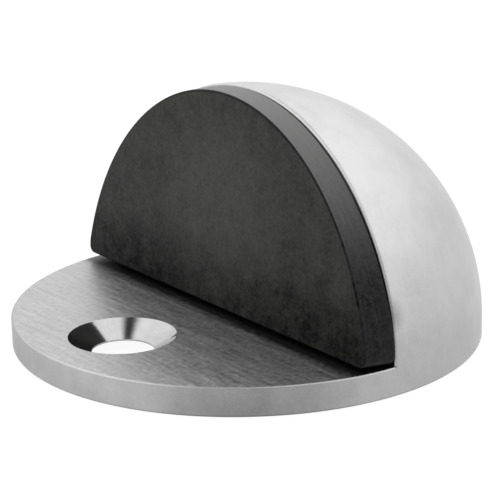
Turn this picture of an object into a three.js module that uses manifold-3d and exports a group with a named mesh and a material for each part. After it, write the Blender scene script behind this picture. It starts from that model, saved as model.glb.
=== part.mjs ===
// A half-dome floor door stop: a hollow stainless casting (round base disc and half dome in one piece)
// with a D-shaped rubber buffer on its flat face. A steel plate moulded into the buffer carries two
// grooved studs, which pass through the dome's front wall and are held inside by E-clips.
//
// Millimetres. The origin is the centre of the disc's underside, on the floor. +Z is up, the buffer
// faces -Y, towards the door, and +X is to the right.

import * as THREE from "three";
import { mergeVertices } from "three/addons/utils/BufferGeometryUtils.js";
import Module from "manifold-3d";

const wasm = await Module();
wasm.setup();

// ---- Driving dimensions ----

const baseRadius = 22.5;
const totalHeight = 24;
const discThickness = 2.8;
const shoulderHeight = 1.9; // the dome's side is upright below this, and an ellipse above it
const wall = 2; // thickness of the casting's walls
const webThickness = 1.6; // thickness of the disc inside its rim
const topEdgeRadius = 0.2; // rounding of the disc's top edge
const footChamfer = 0.3;

const faceFoot = 3.8; // the height that both leans and the buffer's fixings are measured from
const faceLean = THREE.MathUtils.degToRad(2.2); // the dome's flat face leans back by this
const strikeLean = THREE.MathUtils.degToRad(4.4); // the buffer's front leans back by this

const screwY = -14.15; // centre of the screw hole
const screwHoleRadius = 2.9;
const countersinkRadius = 5.05;
const screwLand = 0.15; // straight stretch of the hole below the countersink

const bufferBottom = 3.35; // height of the buffer's lower front edge
const bufferCorner = 0.45; // cut off its lower corners at 45 degrees
const bufferDepth = 3.65; // from the dome's face to the buffer's front, at the height of faceFoot
const undersideSlope = THREE.MathUtils.degToRad(6); // the buffer's underside drops towards the dome
const bufferArcHalfWidth = 23; // the buffer's outline is an arc of an ellipse of this half width
const bufferArcRise = 24.2; // and this half height,
const bufferArcMiddle = -0.35; // centred at this height, with upright sides under the arc
const seatGap = 0.1; // between the buffer and the face it is drawn against

const plateThickness = 1.2;
const plateInset = 3; // how far the plate's outline lies inside the dome's
const plateBottom = 2.2; // the plate's lower edge, above faceFoot
const fitGap = 0.1; // between the pieces inside the buffer

const studX = 9;
const studHeight = 6.5; // the studs' height above faceFoot, along the face
const studRadius = 1.5;
const studHoleRadius = 1.8;
const studHeadRadius = 2.5;
const studHeadThickness = 0.6;
const studReach = 4.2; // how far the studs reach behind the face
const studTipChamfer = 0.3;
const grooveRadius = 1.15;
const grooveWidth = 0.7;

const clipThickness = 0.55;
const clipRadius = 3;
const clipReliefRadius = 2.1;
const clipMouth = 2; // width of the mouth that is pushed over the stud

// ---- Fineness of the facets ----

const roundSegments = 72; // around the disc and the dome
const domeArcPoints = 28; // from the dome's shoulder to its top
const holeSegments = 36;
const outlineSegments = 40; // along the buffer's rounded outline
const cornerPoints = 3; // along the rounding of the disc's top edge
const clipArcSegments = 8;

// ---- Materials ----

const steel = (color, roughness) => new THREE.MeshStandardMaterial({ color, roughness, metalness: 1 });
const satinSteel = steel(0xc9c8c6, 0.38);
const zincPlatedSteel = steel(0xa9abb0, 0.45);
const turnedSteel = steel(0xb9babd, 0.3);
const springSteel = steel(0x4c4b4a, 0.42);
const blackRubber = new THREE.MeshStandardMaterial({ color: 0x2b2b2a, roughness: 0.85, metalness: 0 });

// ---- Joining and cutting ----

const weldDistance = 1e-4; // vertices closer than this are one

function solidFrom(geometry) {
  const plain = geometry.clone();
  plain.deleteAttribute("normal");
  plain.deleteAttribute("uv");
  const merged = mergeVertices(plain, weldDistance);
  return new wasm.Manifold(
    new wasm.Mesh({
      numProp: 3,
      vertProperties: merged.attributes.position.array,
      triVerts: new Uint32Array(merged.index.array),
    }),
  );
}

function geometryFrom(solid) {
  const { vertProperties, triVerts } = solid.getMesh();
  const geometry = new THREE.BufferGeometry();
  geometry.setAttribute("position", new THREE.BufferAttribute(vertProperties, 3));
  geometry.setIndex(new THREE.BufferAttribute(triVerts, 1));
  geometry.computeVertexNormals();
  return geometry;
}

// ---- Shapes that several pieces share ----

// A solid of revolution about Z. Each outline point is [radius, height], running up the outside.
function turnedAboutZ(outline, segments) {
  const points = outline.map(([radius, height]) => new THREE.Vector2(radius, height));
  return new THREE.LatheGeometry(points, segments).rotateX(Math.PI / 2);
}

// The dome's side and top as outline points, `inset` inside the outer surface.
function domeArc(inset) {
  return Array.from({ length: domeArcPoints + 1 }, (_, i) => {
    const angle = (i / domeArcPoints) * (Math.PI / 2);
    const radius = (baseRadius - inset) * Math.cos(angle);
    const height = shoulderHeight + (totalHeight - shoulderHeight - inset) * Math.sin(angle);
    return [i < domeArcPoints ? radius : 0, height];
  });
}

// The dome seen from the front, `inset` inside its outline and cut off straight at height `bottom`.
function domeOutline(inset, bottom) {
  const halfWidth = baseRadius - inset;
  const rise = totalHeight - shoulderHeight - inset;
  const start = Math.asin((bottom - shoulderHeight) / rise);
  const outline = new THREE.Shape();
  outline.moveTo(halfWidth * Math.cos(start), bottom);
  outline.absellipse(0, shoulderHeight, halfWidth, rise, start, Math.PI - start, false);
  outline.closePath();
  return outline;
}

// The buffer seen from the front: as wide as the disc above its lower corners, which are cut off at 45
// degrees, and drawn down to height `bottom`.
function bufferOutline(bottom) {
  const start = Math.acos(baseRadius / bufferArcHalfWidth);
  const cornerTop = bufferBottom + bufferCorner;
  const lowHalfWidth = baseRadius - (cornerTop - bottom);
  const outline = new THREE.Shape();
  outline.moveTo(lowHalfWidth, bottom);
  outline.lineTo(baseRadius, cornerTop);
  outline.absellipse(0, bufferArcMiddle, bufferArcHalfWidth, bufferArcRise, start, Math.PI - start, false);
  outline.lineTo(-baseRadius, cornerTop);
  outline.lineTo(-lowHalfWidth, bottom);
  outline.closePath();
  return outline;
}

// An outline drawn in X and Z, given thickness along Y from `back` towards -Y.
function plateAlongY(outline, back, thickness) {
  const options = { depth: thickness, bevelEnabled: false, curveSegments: outlineSegments };
  return new THREE.ExtrudeGeometry(outline, options).rotateX(Math.PI / 2).translate(0, back, 0);
}

// Everything on one side of a plane that leans back by `lean` and passes y = `offset` at the height
// faceFoot. `side` is -1 for the space in front of the plane and 1 for that behind it.
const roomSize = 80; // longer than the whole part each way
function leaningRoom(offset, lean, side) {
  const room = new THREE.BoxGeometry(roomSize, roomSize, roomSize);
  room.translate(0, (side * roomSize) / 2, 0);
  room.rotateX(-lean);
  return solidFrom(room.translate(0, offset, faceFoot));
}
const roomInFront = (offset, lean) => leaningRoom(offset, lean, -1);
const roomBehind = (offset, lean) => leaningRoom(offset, lean, 1);

// The frame of the dome's flat face: its origin is at the height faceFoot, +Y goes square through the
// front wall and +Z runs up the face.
const faceFrame = new THREE.Group();
faceFrame.name = "buffer_fixings";
faceFrame.position.set(0, 0, faceFoot);
faceFrame.rotation.x = -faceLean;
faceFrame.updateMatrix();

const onFace = (geometry) => solidFrom(geometry.clone().applyMatrix4(faceFrame.matrix));

// A round bar square to the face, from `from` to `to` along the face's Y, at one stud's place.
function barThroughFace(radius, from, to, x) {
  const bar = new THREE.CylinderGeometry(radius, radius, to - from, holeSegments);
  return bar.translate(x, (from + to) / 2, studHeight);
}

// ---- The casting: disc, dome and flat face ----

function castingOutside() {
  const side = [
    [0, 0],
    [baseRadius - footChamfer, 0],
    [baseRadius, footChamfer],
    ...domeArc(0),
  ];
  return solidFrom(turnedAboutZ(side, roundSegments));
}

// The space above the open half of the disc, with the rounding of the disc's top edge.
function spaceOverDisc() {
  const centreRadius = baseRadius - topEdgeRadius;
  const centreHeight = discThickness - topEdgeRadius;
  const rounding = Array.from({ length: cornerPoints + 1 }, (_, i) => {
    const angle = (i / cornerPoints) * (Math.PI / 2);
    return [centreRadius + topEdgeRadius * Math.sin(angle), centreHeight + topEdgeRadius * Math.cos(angle)];
  });
  const outline = [
    [0, discThickness],
    ...rounding,
    [roomSize / 2, centreHeight],
    [roomSize / 2, roomSize / 2],
    [0, roomSize / 2],
  ];
  return solidFrom(turnedAboutZ(outline, roundSegments)).intersect(roomInFront(0, faceLean));
}

// The hollow under the disc and in the dome, open at the underside.
function hollow() {
  const below = -1;
  const outline = [[0, below], [baseRadius - wall, below], ...domeArc(wall)];
  const underside = discThickness - webThickness;
  const aboveWeb = new THREE.BoxGeometry(roomSize, roomSize, roomSize);
  aboveWeb.translate(0, 0, underside + roomSize / 2);
  const wallAndBeyond = roomInFront(wall / Math.cos(faceLean), faceLean).intersect(solidFrom(aboveWeb));
  return solidFrom(turnedAboutZ(outline, roundSegments)).subtract(wallAndBeyond);
}

function screwHole() {
  const underside = discThickness - webThickness;
  const coneFoot = underside + screwLand;
  const slope = (countersinkRadius - screwHoleRadius) / (discThickness - coneFoot);
  const above = 1;
  const outline = [
    [0, underside - above],
    [screwHoleRadius, underside - above],
    [screwHoleRadius, coneFoot],
    [countersinkRadius + slope * above, discThickness + above],
    [0, discThickness + above],
  ];
  return solidFrom(turnedAboutZ(outline, holeSegments).translate(0, screwY, 0));
}

function domeBody() {
  let body = castingOutside().subtract(spaceOverDisc()).subtract(hollow()).subtract(screwHole());
  for (const x of [-studX, studX]) {
    body = body.subtract(onFace(barThroughFace(studHoleRadius, -wall, 2 * wall, x)));
  }
  return geometryFrom(body);
}

// ---- The buffer and what is moulded into it ----

const plateFront = -seatGap - plateThickness;
const headBack = plateFront - fitGap;
const headFront = headBack - studHeadThickness;

// The plate without its holes, in the face's frame, with its outline grown by `growth`.
function corePlateBlank(growth, back, thickness) {
  const outline = domeOutline(plateInset - growth, faceFoot + plateBottom - growth);
  return plateAlongY(outline, back, thickness).translate(0, 0, -faceFoot);
}

// Everything below the buffer's sloping underside.
function roomUnderBuffer() {
  const room = new THREE.BoxGeometry(roomSize, roomSize, roomSize);
  room.translate(0, 0, -roomSize / 2).rotateX(-undersideSlope);
  return solidFrom(room.translate(0, -bufferDepth, bufferBottom));
}

function rubberBuffer() {
  const spare = 2; // what the blank has too much, at its back, its front and its lower end
  const blank = plateAlongY(bufferOutline(bufferBottom - spare), spare, 2 * spare + bufferDepth);
  const plateSeat = seatGap + plateThickness + fitGap;
  let buffer = solidFrom(blank)
    .subtract(roomUnderBuffer())
    .subtract(roomBehind(-seatGap / Math.cos(faceLean), faceLean))
    .subtract(roomInFront(-bufferDepth, strikeLean))
    .subtract(onFace(corePlateBlank(fitGap, 0, plateSeat)));
  for (const x of [-studX, studX]) {
    buffer = buffer.subtract(onFace(barThroughFace(studHeadRadius + fitGap, headFront - fitGap, 0, x)));
  }
  return geometryFrom(buffer);
}

function corePlate() {
  const spare = 1; // how far the bars that cut the holes stand out
  let plate = solidFrom(corePlateBlank(0, -seatGap, plateThickness));
  for (const x of [-studX, studX]) {
    plate = plate.subtract(solidFrom(barThroughFace(studRadius + fitGap, plateFront - spare, spare, x)));
  }
  return geometryFrom(plate);
}

// ---- Studs and clips, each drawn on its own axis ----

const grooveStart = wall + (grooveWidth - clipThickness) / 2;

// A stud stands on its own Z axis, its head at the bottom: heights are distances behind the face.
function stud() {
  const outline = [
    [0, headFront],
    [studHeadRadius, headFront],
    [studHeadRadius, headBack],
    [studRadius, headBack],
    [studRadius, grooveStart],
    [grooveRadius, grooveStart],
    [grooveRadius, grooveStart + grooveWidth],
    [studRadius, grooveStart + grooveWidth],
    [studRadius, studReach - studTipChamfer],
    [studRadius - studTipChamfer, studReach],
    [0, studReach],
  ];
  return turnedAboutZ(outline, holeSegments);
}

// An E-clip, its mouth towards -Y: an open ring whose three prongs reach in to the groove. Its outline
// is a chain of arcs about the stud's axis, each joined to the next by a straight line.
function clip() {
  const prongRadius = grooveRadius + fitGap / 2;
  const down = -Math.PI / 2;
  const mouthAngle = (radius) => Math.asin(clipMouth / 2 / radius);
  const halfTopProng = THREE.MathUtils.degToRad(24);
  const sideProngEnd = THREE.MathUtils.degToRad(8);
  const outline = new THREE.Shape();
  const arc = (radius, from, to) => outline.absarc(0, 0, radius, from, to, from > to);
  arc(clipRadius, down + mouthAngle(clipRadius), down + 2 * Math.PI - mouthAngle(clipRadius));
  arc(prongRadius, down + 2 * Math.PI - mouthAngle(prongRadius), Math.PI + sideProngEnd);
  arc(clipReliefRadius, Math.PI + sideProngEnd, Math.PI / 2 + halfTopProng);
  arc(prongRadius, Math.PI / 2 + halfTopProng, Math.PI / 2 - halfTopProng);
  arc(clipReliefRadius, Math.PI / 2 - halfTopProng, -sideProngEnd);
  arc(prongRadius, -sideProngEnd, down + mouthAngle(prongRadius));
  outline.closePath();
  return new THREE.ExtrudeGeometry(outline, {
    depth: clipThickness,
    bevelEnabled: false,
    curveSegments: clipArcSegments,
  });
}

// ---- Assembly ----

function piece(name, geometry, material) {
  const mesh = new THREE.Mesh(geometry, material);
  mesh.name = name;
  return mesh;
}

const doorStop = new THREE.Group();
doorStop.name = "door_stop";
doorStop.add(piece("dome_body", domeBody(), satinSteel));
doorStop.add(piece("rubber_buffer", rubberBuffer(), blackRubber));
doorStop.add(faceFrame);

faceFrame.add(piece("buffer_core_plate", corePlate(), zincPlatedSteel));

const squareToFace = -Math.PI / 2; // turns a piece's own +Z to the face frame's +Y
for (const [side, x] of [
  ["left", -studX],
  ["right", studX],
]) {
  const studMesh = piece(`buffer_stud_${side}`, stud(), turnedSteel);
  studMesh.position.set(x, 0, studHeight);
  studMesh.rotation.x = squareToFace;
  faceFrame.add(studMesh);

  const clipMesh = piece(`stud_clip_${side}`, clip(), springSteel);
  clipMesh.position.set(x, wall + grooveWidth - clipThickness, studHeight);
  clipMesh.rotation.x = squareToFace;
  faceFrame.add(clipMesh);
}

export default doorStop;
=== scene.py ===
import math

import bmesh
import bpy
from mathutils import Matrix, Vector


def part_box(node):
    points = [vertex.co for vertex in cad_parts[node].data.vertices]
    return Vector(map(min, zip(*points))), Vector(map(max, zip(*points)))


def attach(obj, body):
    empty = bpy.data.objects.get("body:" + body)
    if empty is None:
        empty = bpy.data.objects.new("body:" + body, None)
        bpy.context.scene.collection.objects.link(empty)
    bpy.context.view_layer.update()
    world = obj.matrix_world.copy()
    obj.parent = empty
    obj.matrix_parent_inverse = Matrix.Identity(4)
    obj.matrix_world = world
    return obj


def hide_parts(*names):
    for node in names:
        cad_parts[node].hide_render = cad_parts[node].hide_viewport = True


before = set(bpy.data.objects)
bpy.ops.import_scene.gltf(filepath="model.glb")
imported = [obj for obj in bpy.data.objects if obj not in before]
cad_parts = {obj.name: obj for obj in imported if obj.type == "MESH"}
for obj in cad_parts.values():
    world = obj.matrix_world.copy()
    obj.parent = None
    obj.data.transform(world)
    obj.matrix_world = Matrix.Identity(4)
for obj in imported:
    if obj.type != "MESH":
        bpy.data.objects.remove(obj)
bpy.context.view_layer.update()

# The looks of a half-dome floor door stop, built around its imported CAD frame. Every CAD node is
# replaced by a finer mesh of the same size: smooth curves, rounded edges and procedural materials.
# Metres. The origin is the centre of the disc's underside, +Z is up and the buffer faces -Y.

MM = 0.001

# ---- Sizes, the same as the CAD's ----

BASE_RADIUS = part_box("dome_body")[1].x
DISC_THICKNESS = 2.8 * MM
SHOULDER = 1.9 * MM  # the dome's side is upright below this height, and an ellipse above it
DOME_TOP = 24 * MM
DOME_RISE = DOME_TOP - SHOULDER
WALL = 2 * MM
WEB_THICKNESS = 1.6 * MM
WEB_UNDERSIDE = DISC_THICKNESS - WEB_THICKNESS
FACE_FOOT = 3.8 * MM  # the height that both leans are measured from
FACE_LEAN = math.radians(2.2)
STRIKE_LEAN = math.radians(4.4)

SCREW_Y = -14.15 * MM
SCREW_HOLE_RADIUS = 2.9 * MM
COUNTERSINK_RADIUS = 5.05 * MM
SCREW_LAND = 0.15 * MM

BUFFER_BOTTOM = 3.35 * MM  # height of the buffer's lower front edge, which lies foremost
BUFFER_REACH = -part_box("rubber_buffer")[0].y
BUFFER_DEPTH = BUFFER_REACH - math.tan(STRIKE_LEAN) * (FACE_FOOT - BUFFER_BOTTOM)  # at FACE_FOOT
UNDERSIDE_SLOPE = math.radians(6)  # the buffer's underside drops towards the dome
BUFFER_ARC_HALF_WIDTH = 23 * MM
BUFFER_ARC_RISE = 24.2 * MM
BUFFER_ARC_MIDDLE = -0.35 * MM
SEAT_GAP = 0.1 * MM

PLATE_THICKNESS = 1.2 * MM
PLATE_INSET = 3 * MM
PLATE_BOTTOM = 2.2 * MM
FIT_GAP = 0.1 * MM

STUD_PLACES = (-9 * MM, 9 * MM)  # left and right of the middle
STUD_HEIGHT = 6.5 * MM
STUD_RADIUS = 1.5 * MM
STUD_HOLE_RADIUS = 1.8 * MM
STUD_HEAD_RADIUS = 2.5 * MM
STUD_HEAD_THICKNESS = 0.6 * MM
STUD_REACH = 4.2 * MM
STUD_TIP_CHAMFER = 0.3 * MM
GROOVE_RADIUS = 1.15 * MM
GROOVE_WIDTH = 0.7 * MM

CLIP_THICKNESS = 0.55 * MM
CLIP_RADIUS = 3 * MM
CLIP_RELIEF_RADIUS = 2.1 * MM
CLIP_MOUTH = 2 * MM

# ---- Edge roundings, and how finely the round surfaces are divided ----

FOOT_ROUNDING = 0.3 * MM
DISC_EDGE_ROUNDING = 0.2 * MM
DOME_EDGE_ROUNDING = 0.3 * MM
HOLE_LIP_ROUNDING = 0.12 * MM
RUBBER_ROUNDING = 0.2 * MM
RUBBER_CORNER_ROUNDING = 0.75 * MM
SMALL_ROUNDING = 0.06 * MM

ROUND_STEPS = 288  # round the disc and the dome
ARC_STEPS = 96  # from the dome's shoulder to its top
OUTLINE_STEPS = 220  # along a D-shaped outline
HOLE_STEPS = 96
ROUNDING_STEPS = 6
QUARTER_TURN = [math.pi / 2 * i / ROUNDING_STEPS for i in range(ROUNDING_STEPS + 1)]
SHARP_FROM = math.radians(32)


# ---- Meshes ----


def new_object(name, bm):
    """An object in the scene, made of a mesh that is used up."""
    bmesh.ops.recalc_face_normals(bm, faces=bm.faces)
    mesh = bpy.data.meshes.new(name)
    bm.to_mesh(mesh)
    bm.free()
    made = bpy.data.objects.new(name, mesh)
    bpy.context.scene.collection.objects.link(made)
    return made


def loft(name, rings):
    """A closed solid through rings of points, with a flat end at each ring that isn't one point."""
    bm = bmesh.new()
    loops = [[bm.verts.new(point) for point in ring] for ring in rings]
    for lower, upper in zip(loops, loops[1:]):
        for i in range(max(len(lower), len(upper))):
            corners = [
                lower[i % len(lower)],
                lower[(i + 1) % len(lower)],
                upper[(i + 1) % len(upper)],
                upper[i % len(upper)],
            ]
            bm.faces.new(dict.fromkeys(corners))
    for end in (loops[0], loops[-1]):
        if len(end) > 2:
            bm.faces.new(end)
    return new_object(name, bm)


def revolve(name, outline, steps):
    """A solid turned about Z, from an outline of (radius, height) points that starts and ends at the
    axis."""
    rings = []
    for radius, height in outline:
        around = range(steps if radius > 0 else 1)
        angles = [2 * math.pi * i / steps for i in around]
        rings.append([(radius * math.cos(a), radius * math.sin(a), height) for a in angles])
    return loft(name, rings)


def rounded(points, radii):
    """An outline whose inner corners are arcs of these radii, where 0 leaves a corner sharp."""
    points = [Vector(point) for point in points]
    outline = [points[0]]
    for before, corner, after, radius in zip(points, points[1:], points[2:], radii):
        if radius == 0:
            outline.append(corner)
            continue
        back, on = (before - corner).normalized(), (after - corner).normalized()
        half = back.angle(on) / 2
        centre = corner + (back + on).normalized() * radius / math.sin(half)
        start = corner + back * radius / math.tan(half) - centre
        end = corner + on * radius / math.tan(half) - centre
        for i in range(ROUNDING_STEPS + 1):
            outline.append(centre + start.lerp(end, i / ROUNDING_STEPS).normalized() * radius)
    return outline + [points[-1]]


def cut(target, cutter):
    """Takes the cutter out of the target, and the cutter out of the scene."""
    boolean = target.modifiers.new("cut", "BOOLEAN")
    boolean.operation = "DIFFERENCE"
    boolean.solver = "MANIFOLD"
    boolean.object = cutter
    whole = target.data
    evaluated = target.evaluated_get(bpy.context.evaluated_depsgraph_get())
    target.data = bpy.data.meshes.new_from_object(evaluated)
    target.modifiers.clear()
    bpy.data.meshes.remove(whole)
    bpy.data.meshes.remove(cutter.data)


def smooth(piece):
    """Smooth shading that keeps flat faces flat and edges from SHARP_FROM upwards sharp."""
    piece.data.shade_smooth()
    piece.data.set_sharp_from_angle(angle=SHARP_FROM)
    weights = piece.modifiers.new("flat_faces", "WEIGHTED_NORMAL")
    weights.keep_sharp = True
    return piece


# ---- The planes and outlines that the body and the buffer share ----

FACE_FRAME = Matrix.Translation((0, 0, FACE_FOOT)) @ Matrix.Rotation(-FACE_LEAN, 4, "X")
ALONG_FACE_NORMAL = Matrix.Rotation(-math.pi / 2, 4, "X")  # turns a piece's own Z to the face's Y


def at_stud(x, depth=0):
    """The place of a turned piece on one stud's axis, its own Z pointing into the dome."""
    return FACE_FRAME @ Matrix.Translation((x, depth, STUD_HEIGHT)) @ ALONG_FACE_NORMAL


def face_y(z):
    """Where the dome's leaning flat face is at a height."""
    return math.tan(FACE_LEAN) * (z - FACE_FOOT)


def strike_y(z):
    """Where the buffer's leaning front is at a height."""
    return math.tan(STRIKE_LEAN) * (z - FACE_FOOT) - BUFFER_DEPTH


def d_outline(half_width, rise, middle, bottom, inset=0.0):
    """(x, z) points of an upright ellipse, cut off straight at its bottom and drawn in by an inset."""
    start = math.asin((bottom - middle) / rise)
    points = []
    for i in range(OUTLINE_STEPS + 1):
        angle = start + (math.pi - 2 * start) * i / OUTLINE_STEPS
        normal = Vector((math.cos(angle) / half_width, math.sin(angle) / rise)).normalized()
        x = half_width * math.cos(angle) - inset * normal.x
        z = middle + rise * math.sin(angle) - inset * normal.y
        at_end = i in (0, OUTLINE_STEPS)
        points.append((x, bottom if at_end else max(z, bottom)))
    return points


def dome_section(behind, inset, bottom):
    """The dome's outline where a plane `behind` its flat face cuts it."""
    slope = math.tan(FACE_LEAN)
    level = behind + face_y(SHOULDER)
    spread = (BASE_RADIUS / DOME_RISE) ** 2 + slope**2
    shift = -level * slope / spread
    reach = math.sqrt(BASE_RADIUS**2 - level**2 + spread * shift**2)
    return d_outline(reach, reach / math.sqrt(spread), SHOULDER + shift, bottom, inset)


def buffer_outline(inset, bottom):
    """The buffer's outline: an ellipse arc over short upright sides, and rounded lower corners."""
    start = math.acos(BASE_RADIUS / BUFFER_ARC_HALF_WIDTH)
    low_end = BUFFER_ARC_MIDDLE + BUFFER_ARC_RISE * math.sin(start)
    arc = d_outline(BUFFER_ARC_HALF_WIDTH, BUFFER_ARC_RISE, BUFFER_ARC_MIDDLE, low_end, inset)
    side = BASE_RADIUS - inset
    corner = [(0, bottom + inset), (side, bottom + inset), (side, low_end)]
    right = rounded(corner, [RUBBER_CORNER_ROUNDING - inset])[:-1]
    left = [Vector((-x, z)) for x, z in reversed(right[1:])]
    return right + arc + left


def dome_outline(inset, bottom):
    """The outline of a D-shaped piece that lies `inset` inside the dome's."""
    return d_outline(BASE_RADIUS - inset, DOME_RISE - inset, SHOULDER, bottom)


# ---- The casting ----

BEYOND = 5 * MM  # how far cutters stand out of what they cut
HAIR = 0.01 * MM  # keeps two cuts from sharing a plane
FAR_FRONT = -2 * BASE_RADIUS


def dome_arc(inset):
    """(radius, height) points of the dome's outline, from its shoulder up to the axis."""
    points = []
    for i in range(ARC_STEPS + 1):
        angle = math.pi / 2 * i / ARC_STEPS
        radius = (BASE_RADIUS - inset) * math.cos(angle) if i < ARC_STEPS else 0
        points.append((radius, SHOULDER + (DOME_RISE - inset) * math.sin(angle)))
    return points


def space_over_disc():
    """The space in front of the dome, with the hollow counterpart of the dome's rounded front edge."""

    def ring(inset, behind):
        section = dome_section(DOME_EDGE_ROUNDING, inset, DISC_THICKNESS)
        return [(x, face_y(z) + behind, z) for x, z in section]

    rings = []
    for angle in QUARTER_TURN:
        inset = DOME_EDGE_ROUNDING * (1 - math.sin(angle))
        rings.append(ring(inset, DOME_EDGE_ROUNDING * (1 - math.cos(angle))))
    rings.append(ring(-BEYOND, DOME_EDGE_ROUNDING))
    rings.append([(x, FAR_FRONT, z) for x, y, z in rings[-1]])
    return loft("space_over_disc", rings)


def disc_edge_waste():
    """What the rounding of the disc's top edge takes off, round the open half."""
    corner = (BASE_RADIUS, DISC_THICKNESS)
    inside = (BASE_RADIUS - 2 * DISC_EDGE_ROUNDING, DISC_THICKNESS)
    below = (BASE_RADIUS, DISC_THICKNESS - 2 * DISC_EDGE_ROUNDING)
    arc = rounded([inside, corner, below], [DISC_EDGE_ROUNDING])[1:-1]
    outer = BASE_RADIUS + BEYOND
    top = DISC_THICKNESS + BEYOND
    section = [(0, top), *arc, (outer, arc[-1].y), (outer, 2 * top), (0, 2 * top)]
    waste = revolve("disc_edge_waste", section, ROUND_STEPS)
    rings = []
    for z in (0, 3 * top):
        edge = face_y(z) - HAIR
        rings.append([(-outer, edge, z), (outer, edge, z), (outer, outer, z), (-outer, outer, z)])
    cut(waste, loft("behind_face", rings))
    return waste


def hollow():
    """The open space under the disc and in the dome."""
    inner_radius = BASE_RADIUS - WALL
    outline = [(0, -BEYOND), (inner_radius, -BEYOND), *dome_arc(WALL)]
    space = revolve("hollow", outline, ROUND_STEPS)
    wall_behind = WALL / math.cos(FACE_LEAN)
    side = 2 * BASE_RADIUS
    rings = []
    for z in (WEB_UNDERSIDE, 2 * DOME_TOP):
        back = face_y(z) + wall_behind
        rings.append([(-side, FAR_FRONT, z), (side, FAR_FRONT, z), (side, back, z), (-side, back, z)])
    cut(space, loft("front_wall", rings))
    return space


def screw_hole():
    """The countersunk hole, with a rounded lip at the disc's top."""
    outline = rounded(
        [
            (0, -BEYOND),
            (SCREW_HOLE_RADIUS, -BEYOND),
            (SCREW_HOLE_RADIUS, WEB_UNDERSIDE + SCREW_LAND),
            (COUNTERSINK_RADIUS, DISC_THICKNESS),
            (2 * COUNTERSINK_RADIUS, DISC_THICKNESS),
        ],
        [0, 0, HOLE_LIP_ROUNDING],
    )[:-1]
    top = DISC_THICKNESS + BEYOND
    hole = revolve("screw_hole", [*outline, (outline[-1].x, top), (0, top)], HOLE_STEPS)
    hole.data.transform(Matrix.Translation((0, SCREW_Y, 0)))
    return hole


def bar_on_face(radius, start, end, x):
    """A round bar square to the dome's face, at one stud's place."""
    bar = revolve("bar", [(0, start), (radius, start), (radius, end), (0, end)], HOLE_STEPS)
    bar.data.transform(at_stud(x))
    return bar


def dome_body():
    """The disc and the hollow half dome, one casting, with the screw hole and two stud holes."""
    outline = rounded([(0, 0), (BASE_RADIUS, 0), (BASE_RADIUS, SHOULDER)], [FOOT_ROUNDING])
    body = revolve("dome_body_fine", outline + dome_arc(0)[1:], ROUND_STEPS)
    cut(body, space_over_disc())
    cut(body, disc_edge_waste())
    cut(body, hollow())
    cut(body, screw_hole())
    for x in STUD_PLACES:
        cut(body, bar_on_face(STUD_HOLE_RADIUS, -WALL, 2 * WALL, x))
    return smooth(body)


# ---- The buffer ----


def rounded_block(name, back, front, rounding):
    """A block with rounded rims. Its back and front are each a pair of functions: the outline at an
    inset, and the y at a height."""
    rings = []
    sides = ((back, QUARTER_TURN, -1), (front, reversed(QUARTER_TURN), 1))
    for (outline_at, y_at), angles, inward in sides:
        for angle in angles:
            inset = rounding * (1 - math.sin(angle))
            depth = inward * rounding * (1 - math.cos(angle))
            rings.append([(x, y_at(z) + depth, z) for x, z in outline_at(inset)])
    return loft(name, rings)


PLATE_FRONT = -SEAT_GAP - PLATE_THICKNESS
HEAD_BACK = PLATE_FRONT - FIT_GAP
HEAD_FRONT = HEAD_BACK - STUD_HEAD_THICKNESS


def plate_block(name, growth, back, front, rounding):
    """The core plate without holes, in the face's frame, its outline grown by `growth`."""

    def outline_at(inset):
        bottom = FACE_FOOT + PLATE_BOTTOM - growth + inset
        return [(x, z - FACE_FOOT) for x, z in dome_outline(PLATE_INSET - growth + inset, bottom)]

    return rounded_block(name, (outline_at, lambda z: back), (outline_at, lambda z: front), rounding)


def rubber_buffer():
    """The D-shaped pad, with a pocket in its back for the core plate and the studs' heads."""
    seat = SEAT_GAP / math.cos(FACE_LEAN)
    back_bottom = BUFFER_BOTTOM - (BUFFER_DEPTH - seat) * math.tan(UNDERSIDE_SLOPE)
    back = (lambda inset: buffer_outline(inset, back_bottom), lambda z: face_y(z) - seat)
    front = (lambda inset: buffer_outline(inset, BUFFER_BOTTOM), strike_y)
    buffer = rounded_block("rubber_buffer_fine", back, front, RUBBER_ROUNDING)
    pocket = plate_block("pocket", FIT_GAP, BEYOND, PLATE_FRONT - FIT_GAP, SMALL_ROUNDING)
    pocket.data.transform(FACE_FRAME)
    cut(buffer, pocket)
    for x in STUD_PLACES:
        cut(buffer, bar_on_face(STUD_HEAD_RADIUS + FIT_GAP, HEAD_FRONT - FIT_GAP, BEYOND, x))
    return smooth(buffer)


def core_plate():
    """The D-shaped plate in the buffer's back, with a hole for each stud."""
    plate = plate_block("buffer_core_plate_fine", 0, -SEAT_GAP, PLATE_FRONT, 2 * SMALL_ROUNDING)
    plate.data.transform(FACE_FRAME)
    for x in STUD_PLACES:
        cut(plate, bar_on_face(STUD_RADIUS + FIT_GAP, -BEYOND, BEYOND, x))
    return smooth(plate)


# ---- Studs and clips ----

GROOVE_START = WALL + (GROOVE_WIDTH - CLIP_THICKNESS) / 2
CLIP_ARC_STEP = math.radians(6)


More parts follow.
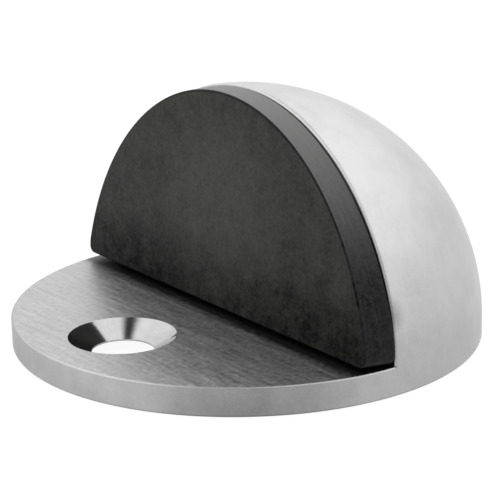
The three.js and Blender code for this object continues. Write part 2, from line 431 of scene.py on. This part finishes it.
def stud(name, x):
    """A headed stud with a groove for its clip."""
    tiny = SMALL_ROUNDING
    outline = rounded(
        [
            (0, HEAD_FRONT),
            (STUD_HEAD_RADIUS, HEAD_FRONT),
            (STUD_HEAD_RADIUS, HEAD_BACK),
            (STUD_RADIUS, HEAD_BACK),
            (STUD_RADIUS, GROOVE_START),
            (GROOVE_RADIUS, GROOVE_START),
            (GROOVE_RADIUS, GROOVE_START + GROOVE_WIDTH),
            (STUD_RADIUS, GROOVE_START + GROOVE_WIDTH),
            (STUD_RADIUS, STUD_REACH - STUD_TIP_CHAMFER),
            (STUD_RADIUS - STUD_TIP_CHAMFER, STUD_REACH),
            (0, STUD_REACH),
        ],
        [2 * tiny, 2 * tiny, 0, tiny, 0, 0, tiny, tiny, tiny],
    )
    made = revolve(name, outline, HOLE_STEPS)
    made.data.transform(at_stud(x))
    return smooth(made)


def clip_outline():
    """An E-clip's outline, its mouth towards -Y: arcs about the stud's axis, joined by straight
    lines."""
    prong = GROOVE_RADIUS + FIT_GAP / 2
    down = -math.pi / 2
    turn = 2 * math.pi
    half_top_prong = math.radians(24)
    side_prong_end = math.radians(8)

    def mouth(radius):
        return math.asin(CLIP_MOUTH / 2 / radius)

    arcs = [
        (CLIP_RADIUS, down + mouth(CLIP_RADIUS), down + turn - mouth(CLIP_RADIUS)),
        (prong, down + turn - mouth(prong), math.pi + side_prong_end),
        (CLIP_RELIEF_RADIUS, math.pi + side_prong_end, math.pi / 2 + half_top_prong),
        (prong, math.pi / 2 + half_top_prong, math.pi / 2 - half_top_prong),
        (CLIP_RELIEF_RADIUS, math.pi / 2 - half_top_prong, -side_prong_end),
        (prong, -side_prong_end, down + mouth(prong)),
    ]
    points = []
    for radius, start, end in arcs:
        steps = max(4, round(abs(end - start) / CLIP_ARC_STEP))
        for i in range(steps + 1):
            angle = start + (end - start) * i / steps
            points.append((radius * math.cos(angle), radius * math.sin(angle)))
    return points


def clip(name, x):
    """An E-clip in the middle of a stud's groove, with slightly rounded edges."""
    outline = clip_outline()
    made = loft(name, [[(px, py, z) for px, py in outline] for z in (0, CLIP_THICKNESS)])
    made.data.transform(at_stud(x, WALL + GROOVE_WIDTH - CLIP_THICKNESS))
    bevel = made.modifiers.new("stamped_edge", "BEVEL")
    bevel.width = SMALL_ROUNDING / 2
    bevel.segments = 2
    bevel.limit_method = "ANGLE"
    bevel.angle_limit = math.radians(50)
    return smooth(made)


# ---- Materials ----

UP = (0, 0, 1)
WHITE = (1, 1, 1, 1)


class Graph:
    """A node tree under construction, with short names for the nodes that several of them share."""

    def __init__(self, tree):
        self.nodes = tree.nodes
        self.links = tree.links

    def join(self, value, socket):
        """Gives a socket a number, a colour or another node's output."""
        if isinstance(value, bpy.types.NodeSocket):
            self.links.new(value, socket)
        else:
            socket.default_value = value

    def math(self, operation, *values, node_type="ShaderNodeMath"):
        node = self.nodes.new(node_type)
        node.operation = operation
        for value, socket in zip(values, node.inputs):
            self.join(value, socket)
        return node.outputs["Value"]

    def along(self, vector, axis):
        """How far a vector reaches along an axis."""
        return self.math("DOT_PRODUCT", vector, axis, node_type="ShaderNodeVectorMath")

    def distance(self, vector, point):
        return self.math("DISTANCE", vector, point, node_type="ShaderNodeVectorMath")

    def between(self, value, first, last, start=0.3, stop=0.7, curve="LINEAR"):
        """A number that goes from first to last as the value goes from start to stop."""
        spread = self.nodes.new("ShaderNodeMapRange")
        spread.interpolation_type = curve
        ends = (("From Min", start), ("From Max", stop), ("To Min", first), ("To Max", last))
        for name, number in ends:
            spread.inputs[name].default_value = number
        self.join(value, spread.inputs["Value"])
        return spread.outputs["Result"]


class Finish(Graph):
    """A material for one finish of one stuff."""

    def __init__(self, name):
        self.material = bpy.data.materials.new(name)
        self.material.use_nodes = True
        super().__init__(self.material.node_tree)
        self.shader = self.nodes["Principled BSDF"]
        self.place = self.nodes.new("ShaderNodeTexCoord").outputs["Object"]

    def stretched(self, scale):
        """The place on the object, scaled along each axis."""
        mapping = self.nodes.new("ShaderNodeMapping")
        mapping.inputs["Scale"].default_value = scale
        self.join(self.place, mapping.inputs["Vector"])
        return mapping.outputs["Vector"]

    def noise(self, where, scale=1.0, detail=3.0, roughness=0.5):
        """A cloudy number round 0.5. The scale is about how many clouds a metre has."""
        noise = self.nodes.new("ShaderNodeTexNoise")
        noise.inputs["Scale"].default_value = scale
        noise.inputs["Detail"].default_value = detail
        noise.inputs["Roughness"].default_value = roughness
        self.join(where, noise.inputs["Vector"])
        return noise.outputs["Fac"]

    def height(self, start, stop):
        """A number that goes from 0 to 1 between two heights above the floor."""
        return self.between(self.along(self.place, UP), 0, 1, start, stop, "SMOOTHSTEP")

    def mixed(self, first, second, share):
        """The second value's share, added to the rest of the first one."""
        rest = self.math("MULTIPLY", first, 1 - share)
        return self.math("ADD", rest, self.math("MULTIPLY", second, share))

    def blend(self, value, dark, light, start=0.3, stop=0.7):
        """A colour that goes from dark to light as the value goes from start to stop."""
        mix = self.nodes.new("ShaderNodeMix")
        mix.data_type = "RGBA"
        sockets = {socket.identifier: socket for socket in mix.inputs}
        sockets["A_Color"].default_value = (*dark, 1)
        sockets["B_Color"].default_value = (*light, 1)
        self.join(self.between(value, 0, 1, start, stop), sockets["Factor_Float"])
        return next(s for s in mix.outputs if s.identifier == "Result_Color")

    def bump(self, height, strength, depth, under=None):
        """A surface normal disturbed by a height, over another bump where `under` gives one."""
        bump = self.nodes.new("ShaderNodeBump")
        bump.inputs["Strength"].default_value = strength
        bump.inputs["Distance"].default_value = depth
        self.join(height, bump.inputs["Height"])
        if under:
            self.join(under, bump.inputs["Normal"])
        return bump.outputs["Normal"]

    def set(self, **sockets):
        """Sets the shader's sockets."""
        for name, value in sockets.items():
            self.join(value, self.shader.inputs[name.replace("_", " ")])
        return self.material


PALE_MIDDLE = (0, -3 * MM, 12.5 * MM)  # the middle of the paler patch on the buffer's front
PALE_INNER = 3 * MM
PALE_OUTER = 13 * MM
EDGE_SHADE_CENTRE = (22.1 * MM, 0, 7.5 * MM)  # where shade beside the buffer is painted on the dome's edge
EDGE_SHADE_RADIUS = 2 * MM
PAD_SHADE_WIDTH = 1.8 * MM  # of the painted shade on the disc, in front of the buffer


def painted_rim_shade(finish, azimuth, half_width, depth):
    """Painted shade that grows to `depth` at one place on the rim. The azimuth runs from -Y towards +X.
    """
    outwards = (math.sin(azimuth), -math.cos(azimuth), 0)
    edge = math.cos(half_width) * BASE_RADIUS
    return finish.between(finish.along(finish.place, outwards), 0, depth, edge, BASE_RADIUS)


def satin_steel():
    """Bead-blasted stainless casting: a fine grain over faint broad patches. Painted shade darkens the
    body a little towards its foot, the disc's rim at two places, the dome's edge low down on the right
    beside the buffer, and a contact line all round the foot."""
    finish = Finish("satin_steel")
    grain = finish.noise(finish.place, scale=3200, detail=3, roughness=0.6)
    patches = finish.noise(finish.place, scale=260, detail=5, roughness=0.62)
    # painted shade: the body is a little darker towards its foot
    above_rim = finish.height(1 * MM, 8 * MM)
    steel = finish.mixed(finish.mixed(patches, grain, share=0.35), above_rim, share=0.18)
    # painted shade on the rim, on the side facing the camera and on the left
    front = painted_rim_shade(finish, azimuth=math.radians(57), half_width=math.radians(25), depth=0.45)
    left = painted_rim_shade(finish, azimuth=math.radians(-60), half_width=math.radians(60), depth=0.5)
    low_down = finish.between(above_rim, 1, 0, start=0, stop=1)
    rim_shade = finish.math("MULTIPLY", finish.math("ADD", front, left), low_down)
    # painted contact shadow along the foot's rounding
    contact_shade = finish.between(finish.height(0, FOOT_ROUNDING), 0.6, 0, start=0, stop=1)
    # painted shade on the dome's edge beside the buffer, low on the right
    from_edge_shade = finish.distance(finish.place, EDGE_SHADE_CENTRE)
    edge_shade = finish.between(from_edge_shade, 0.6, 0, start=0, stop=EDGE_SHADE_RADIUS, curve="SMOOTHSTEP")
    painted_shade = finish.math("ADD", finish.math("ADD", rim_shade, contact_shade), edge_shade)
    tone = finish.math("SUBTRACT", steel, painted_shade)
    dark, light = (0.180, 0.178, 0.179), (0.485, 0.480, 0.481)
    ripple = finish.bump(patches, strength=0.06, depth=0.2 * MM)
    return finish.set(
        Base_Color=finish.blend(tone, dark, light, start=-0.25, stop=0.63),
        Metallic=1.0,
        Roughness=finish.between(grain, 0.34, 0.46),
        Normal=finish.bump(grain, strength=0.2, depth=0.03 * MM, under=ripple),
    )


def brushed_steel():
    """The disc's top: satin steel with straight brush lines along X, and painted shade along the
    buffer's foot."""
    finish = Finish("brushed_steel_top")
    fine_lines = finish.noise(finish.stretched((240, 5200, 1)), detail=3, roughness=0.6)
    streaks = finish.noise(finish.stretched((120, 1500, 1)), detail=6, roughness=0.68)
    grain = finish.noise(finish.place, scale=1800, detail=4, roughness=0.7)
    lines = finish.mixed(finish.mixed(streaks, fine_lines, share=0.4), grain, share=0.4)
    forward = finish.along(finish.place, (0, -1, 0))
    pad_shade_end = BUFFER_REACH + PAD_SHADE_WIDTH
    # painted shade: the disc is darker just in front of the buffer
    pad_shade = finish.between(forward, 0.45, 0, start=BUFFER_REACH, stop=pad_shade_end, curve="SMOOTHSTEP")
    tone = finish.math("SUBTRACT", lines, pad_shade)
    dark, light = (0.060, 0.059, 0.059), (0.475, 0.468, 0.471)
    return finish.set(
        Base_Color=finish.blend(tone, dark, light, start=0.12, stop=0.60),
        Metallic=1.0,
        Roughness=finish.between(lines, 0.38, 0.50, start=0.40, stop=0.60),
        Normal=finish.bump(lines, strength=0.2, depth=0.02 * MM),
    )


def turned_steel(name, centre, light, roughness):
    """Machined steel with fine rings round an upright axis."""
    finish = Finish(name)
    from_axis = finish.distance(finish.stretched((1, 1, 0)), (centre.x, centre.y, 0))
    rings = finish.nodes.new("ShaderNodeTexNoise")
    rings.noise_dimensions = "1D"
    rings.inputs["Scale"].default_value = 2600  # about how many rings a metre has
    finish.join(from_axis, rings.inputs["W"])
    stain = finish.noise(finish.place, scale=500, detail=4, roughness=0.6)
    dark = [0.8 * part for part in light]
    return finish.set(
        Base_Color=finish.blend(stain, dark, light),
        Metallic=1.0,
        Roughness=finish.between(stain, roughness, roughness + 0.08),
        Normal=finish.bump(rings.outputs["Fac"], strength=0.5, depth=0.02 * MM),
    )


def cast_steel():
    """The hollow underside, left as cast: coarser, darker and duller."""
    finish = Finish("cast_steel_inside")
    coarse = finish.noise(finish.place, scale=900, detail=5, roughness=0.65)
    patches = finish.noise(finish.place, scale=140, detail=4)
    return finish.set(
        Base_Color=finish.blend(patches, dark=(0.34, 0.335, 0.33), light=(0.48, 0.475, 0.47)),
        Metallic=1.0,
        Roughness=finish.between(coarse, 0.5, 0.72),
        Normal=finish.bump(coarse, strength=0.5, depth=0.08 * MM),
    )


def shaded_seat_steel():
    """The dome's flat face behind the buffer, painted dark as shade in the gap, most of all low down."""
    finish = Finish("shaded_steel_seat")
    stain = finish.noise(finish.place, scale=600, detail=5, roughness=0.65)
    # painted shade: darker low down on the seat behind the buffer
    tone = finish.mixed(stain, finish.height(8 * MM, 20 * MM), share=0.8)
    dark, light = (0.012, 0.012, 0.012), (0.30, 0.30, 0.295)
    return finish.set(
        Base_Color=finish.blend(tone, dark, light, start=0.1, stop=0.9),
        Metallic=1.0,
        Roughness=finish.between(stain, 0.55, 0.75),
        Normal=finish.bump(stain, strength=0.3, depth=0.05 * MM),
    )


def black_rubber():
    """The buffer's front and back: matt, cloudy with handling, paler round the middle of its front, and
    painted blackest low down as shade."""
    finish = Finish("black_rubber")
    grain = finish.noise(finish.place, scale=2400, detail=5, roughness=0.65)
    mottle = finish.noise(finish.place, scale=380, detail=7, roughness=0.72)
    clouds = finish.between(mottle, 0.15, 0.85, start=0.34, stop=0.66)
    pores = finish.between(grain, 0, 1)
    # painted shade: blacker and less shiny towards the foot
    above_foot = finish.height(4 * MM, 12 * MM)
    from_pale_middle = finish.distance(finish.place, PALE_MIDDLE)
    paler_middle = finish.between(from_pale_middle, 1, 0, PALE_INNER, PALE_OUTER, "SMOOTHSTEP")
    skin = finish.mixed(clouds, pores, share=0.35)
    tone = finish.mixed(skin, finish.mixed(above_foot, paler_middle, share=0.4), share=0.4)
    dark, light = (0.004, 0.004, 0.0037), (0.032, 0.032, 0.030)
    undulation = finish.bump(mottle, strength=0.1, depth=0.2 * MM)
    return finish.set(
        Base_Color=finish.blend(tone, dark, light, start=0.2, stop=0.9),
        Roughness=finish.between(mottle, 0.5, 0.68),
        Specular_IOR_Level=finish.between(tone, 0.04, 0.42, start=0.2, stop=0.9),
        Normal=finish.bump(grain, strength=0.3, depth=0.06 * MM, under=undulation),
    )


def rubber_side():
    """The buffer's moulded side: smoother, with lines along it, painted paler on top as sheen, darker
    below as shade.
    """
    finish = Finish("black_rubber_side")
    lines = finish.noise(finish.stretched((90, 3200, 90)), detail=4, roughness=0.65)
    speckle = finish.noise(finish.place, scale=2200, detail=5, roughness=0.72)
    grain = finish.between(speckle, 0.2, 0.8, start=0.36, stop=0.64)
    # painted sheen: paler towards the top, and painted shade: darker low down
    top = finish.height(9 * MM, 25 * MM)
    tone = finish.mixed(finish.mixed(lines, grain, share=0.5), top, share=0.7)
    dark, light = (0.002, 0.002, 0.002), (0.060, 0.060, 0.058)
    return finish.set(
        Base_Color=finish.blend(tone, dark, light, start=0.1, stop=0.9),
        Roughness=finish.between(grain, 0.38, 0.52, start=0, stop=1),
        Specular_IOR_Level=finish.between(tone, 0.08, 0.75, start=0.1, stop=0.9),
        Normal=finish.bump(lines, strength=0.25, depth=0.05 * MM),
    )


def rubber_edge():
    """The buffer's rounded front edge: a dark, dull line."""
    finish = Finish("black_rubber_edge")
    nicks = finish.noise(finish.place, scale=1500, detail=4, roughness=0.6)
    return finish.set(
        Base_Color=finish.blend(nicks, dark=(0.002, 0.002, 0.002), light=(0.008, 0.008, 0.008)),
        Roughness=finish.between(nicks, 0.55, 0.8),
        Specular_IOR_Level=finish.between(nicks, 0.05, 0.3),
        Normal=finish.bump(nicks, strength=0.3, depth=0.04 * MM),
    )


def zinc_plated_steel():
    """The core plate: rolled steel with the pale, mottled look of zinc."""
    finish = Finish("zinc_plated_steel")
    spangle = finish.noise(finish.place, scale=420, detail=5, roughness=0.7)
    rolled = finish.noise(finish.stretched((80, 1, 2400)))
    return finish.set(
        Base_Color=finish.blend(spangle, dark=(0.47, 0.48, 0.50), light=(0.60, 0.61, 0.63)),
        Metallic=1.0,
        Roughness=finish.between(spangle, 0.30, 0.45),
        Normal=finish.bump(rolled, strength=0.15, depth=0.02 * MM),
    )


def spring_steel():
    """The clips: blackened and oiled."""
    finish = Finish("spring_steel")
    oil = finish.noise(finish.place, scale=700, detail=4)
    return finish.set(
        Base_Color=finish.blend(oil, dark=(0.055, 0.053, 0.052), light=(0.13, 0.125, 0.12)),
        Metallic=1.0,
        Roughness=finish.between(oil, 0.28, 0.42),
        Normal=finish.bump(oil, strength=0.1, depth=0.02 * MM),
    )


def glowing_floor():
    """A matt white that the studio's soft light can't shade much."""
    finish = Finish("floor")
    speckle = finish.noise(finish.place, scale=40, detail=2)
    return finish.set(
        Base_Color=finish.blend(speckle, dark=(0.11, 0.11, 0.11), light=(0.13, 0.13, 0.13)),
        Roughness=1.0,
        Specular_IOR_Level=0.0,
        Emission_Color=WHITE,
        Emission_Strength=0.9,
    )


# ---- Which face has which finish ----

STRAIGHT = 0.99  # how far a unit normal reaches along the axis that it points along
SCREW_AXIS = Vector((0, SCREW_Y, 0))


def body_finish(face):
    """Which finish a face of the casting has."""
    middle, normal = face.center, face.normal
    over_disc = middle.z - DISC_THICKNESS
    behind_face = middle.y - face_y(middle.z)
    from_screw = (Vector((middle.x, middle.y, 0)) - SCREW_AXIS).length
    if from_screw < COUNTERSINK_RADIUS and WEB_UNDERSIDE < middle.z < DISC_THICKNESS:
        return "countersink"
    if abs(over_disc) < HAIR and normal.z > STRAIGHT:
        return "top"
    if over_disc > 0 and abs(behind_face) < HAIR and normal.y < -STRAIGHT:
        return "seat"
    within_walls = Vector((middle.x, middle.y)).length < BASE_RADIUS - 0.9 * WALL
    faces_down = normal.z < -0.9
    in_hollow_dome = behind_face > WALL / 2 and normal.z < 0.01
    return "inside" if within_walls and (faces_down or in_hollow_dome) else "outside"


def buffer_finish(face):
    """Which finish a face of the buffer has. The edge is the front one, all round."""
    if abs(face.normal.y) > 0.98:
        return "front"
    return "edge" if face.normal.y < -0.15 else "side"


def paint_by_face(piece, finishes, finish_of):
    """Paints each face with the finish that `finish_of` names."""
    piece.data.materials.clear()
    for material in finishes.values():
        piece.data.materials.append(material)
    names = list(finishes)
    for face in piece.data.polygons:
        face.material_index = names.index(finish_of(face))


def paint(piece, material):
    piece.data.materials.clear()
    piece.data.materials.append(material)


# ---- The whole object ----


def place(piece, node):
    """Puts a piece in the CAD node's stead."""
    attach(piece, "root")
    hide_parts(node)


def build_object():
    body = dome_body()
    grey = (0.41, 0.41, 0.41)
    body_finishes = {
        "outside": satin_steel(),
        "top": brushed_steel(),
        "countersink": turned_steel("turned_countersink", SCREW_AXIS, grey, roughness=0.08),
        "inside": cast_steel(),
        "seat": shaded_seat_steel(),
    }
    paint_by_face(body, body_finishes, body_finish)
    place(body, "dome_body")

    buffer = rubber_buffer()
    buffer_finishes = {"front": black_rubber(), "side": rubber_side(), "edge": rubber_edge()}
    paint_by_face(buffer, buffer_finishes, buffer_finish)
    place(buffer, "rubber_buffer")

    plate = core_plate()
    paint(plate, zinc_plated_steel())
    place(plate, "buffer_core_plate")

    clip_finish = spring_steel()
    for side, x in zip(("left", "right"), STUD_PLACES):
        pin = stud(f"buffer_stud_{side}_fine", x)
        centre = FACE_FRAME @ Vector((x, 0, STUD_HEIGHT))
        paint(pin, turned_steel(f"turned_stud_{side}", centre, (0.6, 0.6, 0.61), roughness=0.25))
        place(pin, f"buffer_stud_{side}")
        ring = clip(f"stud_clip_{side}_fine", x)
        paint(ring, clip_finish)
        place(ring, f"stud_clip_{side}")


# ---- Floor, light and camera ----

FLOOR_HALF_WIDTH = 60 * BASE_RADIUS
SEAM_LEFTWARDS = 0.15  # how far left of straight up, seen from the camera, the ceiling's seam runs

CAMERA_AZIMUTH = math.radians(54.44)  # from -Y towards +X
CAMERA_ELEVATION = math.radians(17.46)
CAMERA_ROLL = math.radians(-1.31)
CAMERA_DISTANCE = 9.18 * BASE_RADIUS
CAMERA_ASIDE = 0.0203 * BASE_RADIUS
CAMERA_RAISED = -0.1307 * BASE_RADIUS
AIM_HEIGHT = 0.5 * BASE_RADIUS
FOCAL_LENGTH = 156.8  # in real millimetres, which Blender's camera counts in

TOWARDS_CAMERA = Vector((math.sin(CAMERA_AZIMUTH), -math.cos(CAMERA_AZIMUTH), 0))
ACROSS_VIEW = Vector((math.cos(CAMERA_AZIMUTH), math.sin(CAMERA_AZIMUTH), 0))


def floor():
    half = FLOOR_HALF_WIDTH
    bm = bmesh.new()
    corners = [(-half, -half, 0), (half, -half, 0), (half, half, 0), (-half, half, 0)]
    bm.faces.new([bm.verts.new(corner) for corner in corners])
    made = new_object("floor", bm)
    paint(made, glowing_floor())


def studio():
    """Soft light from all round that brightens towards the ceiling, and is dim on the camera's side. Two
    white ceiling panels leave a dark seam between them."""
    world = bpy.data.worlds.new("studio")
    bpy.context.scene.world = world
    world.use_nodes = True
    graph = Graph(world.node_tree)
    background = graph.nodes["Background"]
    graph.join(WHITE, background.inputs["Color"])
    direction = graph.nodes.new("ShaderNodeTexCoord").outputs["Generated"]
    upwards = graph.along(direction, UP)
    rise = graph.between(upwards, 1.1, 1.8, start=0, stop=0.7, curve="SMOOTHSTEP")
    frontwards = graph.along(direction, TOWARDS_CAMERA)
    front = graph.between(frontwards, 1, 0.3, start=0.5, stop=1.0, curve="SMOOTHSTEP")
    rightwards = graph.along(direction, ACROSS_VIEW)
    from_seam = graph.math("ABSOLUTE", graph.math("ADD", rightwards, SEAM_LEFTWARDS))
    below_ceiling = graph.between(upwards, 1, 0, start=0.5, stop=0.75)
    off_seam = graph.math("ADD", from_seam, below_ceiling)
    seam = graph.between(off_seam, 0.05, 1, start=0.04, stop=0.2, curve="SMOOTHSTEP")
    strength = graph.math("MULTIPLY", graph.math("MULTIPLY", rise, front), seam)
    graph.join(strength, background.inputs["Strength"])
    bpy.context.scene.view_settings.view_transform = "Standard"


def camera():
    """A long lens, placed by its direction and distance from a point above the disc's middle."""
    back = TOWARDS_CAMERA * math.cos(CAMERA_ELEVATION) + Vector((0, 0, math.sin(CAMERA_ELEVATION)))
    right = ACROSS_VIEW
    up = back.cross(right)
    lens = bpy.data.cameras.new("camera")
    lens.lens = FOCAL_LENGTH
    lens.clip_start = 0.1 * CAMERA_DISTANCE
    lens.clip_end = 100 * CAMERA_DISTANCE
    eye = bpy.data.objects.new("camera", lens)
    bpy.context.scene.collection.objects.link(eye)
    aim = Vector((0, 0, AIM_HEIGHT))
    eye.location = aim + right * CAMERA_ASIDE + up * CAMERA_RAISED + back * CAMERA_DISTANCE
    rolled_right = right * math.cos(CAMERA_ROLL) + up * math.sin(CAMERA_ROLL)
    rolled_up = up * math.cos(CAMERA_ROLL) - right * math.sin(CAMERA_ROLL)
    turned = Matrix((rolled_right, rolled_up, back)).transposed()
    eye.rotation_mode = "QUATERNION"
    eye.rotation_quaternion = turned.to_quaternion()
    bpy.context.scene.camera = eye


build_object()
floor()
studio()
camera()
